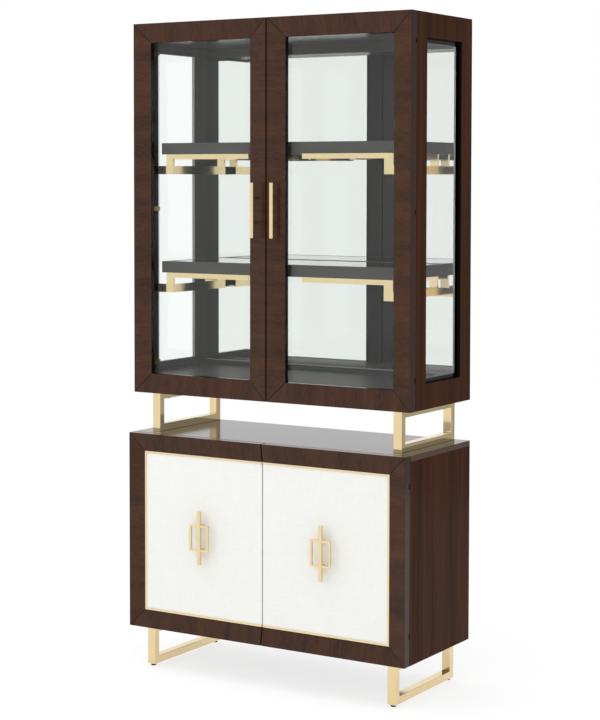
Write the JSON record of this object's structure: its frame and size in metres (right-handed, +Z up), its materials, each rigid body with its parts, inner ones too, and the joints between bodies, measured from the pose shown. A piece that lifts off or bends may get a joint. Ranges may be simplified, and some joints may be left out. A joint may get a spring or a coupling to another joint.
{
  "type": "china cabinet",
  "caption": "China cabinet: a glazed display case with glass doors and a mirrored back, raised on metal frames above a base cabinet that stands on metal legs.",
  "frame": {"origin": "centre of the overall footprint, on the floor", "axes": "+Z up; the doors face -Y; +X is to the right when looking at the doors from the front"},
  "size_m": [1.067, 0.462, 2.184],
  "materials": {
    "veneer": "dark red-brown wood veneer under satin lacquer",
    "interior_paint": "charcoal grey lacquer",
    "gold_metal": "polished pale gold plating",
    "clear_glass": "clear, bevelled edges",
    "mirror": "silvered glass",
    "white_linen_panel": "board wrapped in white linen-textured sheet",
    "steel": "zinc-plated",
    "glide_plastic": "dark moulded"
  },
  "bodies": {
    "cabinet": {"buffet_back_panel": "interior_paint", "buffet_bottom_panel": "interior_paint", "buffet_hinge_case_leaves": "gold_metal", "buffet_inner_shelf": "interior_paint", "buffet_shelf_pegs": "steel", "buffet_side_left": "veneer", "buffet_side_right": "veneer", "buffet_top_panel": "veneer", "door_magnets": "steel", "floor_glides": "glide_plastic", "frame_screws": "steel", "hinge_pins": "steel", "hutch_back_mirror": "mirror", "hutch_back_panel": "interior_paint", "hutch_bottom_box": "veneer", "hutch_hinge_case_leaves": "gold_metal", "hutch_mirror_ledge_bottom": "interior_paint", "hutch_mirror_ledge_top": "interior_paint", "hutch_side_glass_beads": "interior_paint", "hutch_side_glass_left": "clear_glass", "hutch_side_glass_right": "clear_glass", "hutch_side_left": "veneer", "hutch_side_right": "veneer", "hutch_top_box": "veneer", "leg_frame_left": "gold_metal", "leg_frame_right": "gold_metal", "lower_shelf_bracket_left": "gold_metal", "lower_shelf_bracket_right": "gold_metal", "lower_shelf_frame": "interior_paint", "lower_shelf_glass": "clear_glass", "riser_frame_left": "gold_metal", "riser_frame_right": "gold_metal", "upper_shelf_bracket_left": "gold_metal", "upper_shelf_bracket_right": "gold_metal", "upper_shelf_frame": "interior_paint", "upper_shelf_glass": "clear_glass"},
    "hutch_left_door": {"hutch_left_door_bottom_rail": "veneer", "hutch_left_door_glass": "clear_glass", "hutch_left_door_handle": "gold_metal", "hutch_left_door_hinge_leaves": "gold_metal", "hutch_left_door_hinge_stile": "veneer", "hutch_left_door_meeting_stile": "veneer", "hutch_left_door_top_rail": "veneer"},
    "hutch_right_door": {"hutch_right_door_bottom_rail": "veneer", "hutch_right_door_glass": "clear_glass", "hutch_right_door_handle": "gold_metal", "hutch_right_door_hinge_leaves": "gold_metal", "hutch_right_door_hinge_stile": "veneer", "hutch_right_door_meeting_stile": "veneer", "hutch_right_door_top_rail": "veneer"},
    "buffet_left_door": {"buffet_left_door_frame": "veneer", "buffet_left_door_handle": "gold_metal", "buffet_left_door_hinge_leaves": "gold_metal", "buffet_left_door_panel": "white_linen_panel", "buffet_left_door_trim": "gold_metal"},
    "buffet_right_door": {"buffet_right_door_frame": "veneer", "buffet_right_door_handle": "gold_metal", "buffet_right_door_hinge_leaves": "gold_metal", "buffet_right_door_panel": "white_linen_panel", "buffet_right_door_trim": "gold_metal"}
  },
  "joints": [
    {"name": "hutch_left_door_hinge", "type": "hinge", "parent": "cabinet", "child": "hutch_left_door", "pos_m": [-0.5295, -0.154, 1.5605], "axis": [0, 0, -1], "range_deg": [0, 110]},
    {"name": "hutch_right_door_hinge", "type": "hinge", "parent": "cabinet", "child": "hutch_right_door", "pos_m": [0.5295, -0.154, 1.5605], "axis": [0, 0, 1], "range_deg": [0, 110]},
    {"name": "buffet_left_door_hinge", "type": "hinge", "parent": "cabinet", "child": "buffet_left_door", "pos_m": [-0.5295, -0.186, 0.471], "axis": [0, 0, -1], "range_deg": [0, 110]},
    {"name": "buffet_right_door_hinge", "type": "hinge", "parent": "cabinet", "child": "buffet_right_door", "pos_m": [0.5295, -0.186, 0.471], "axis": [0, 0, 1], "range_deg": [0, 110]}
  ]
}
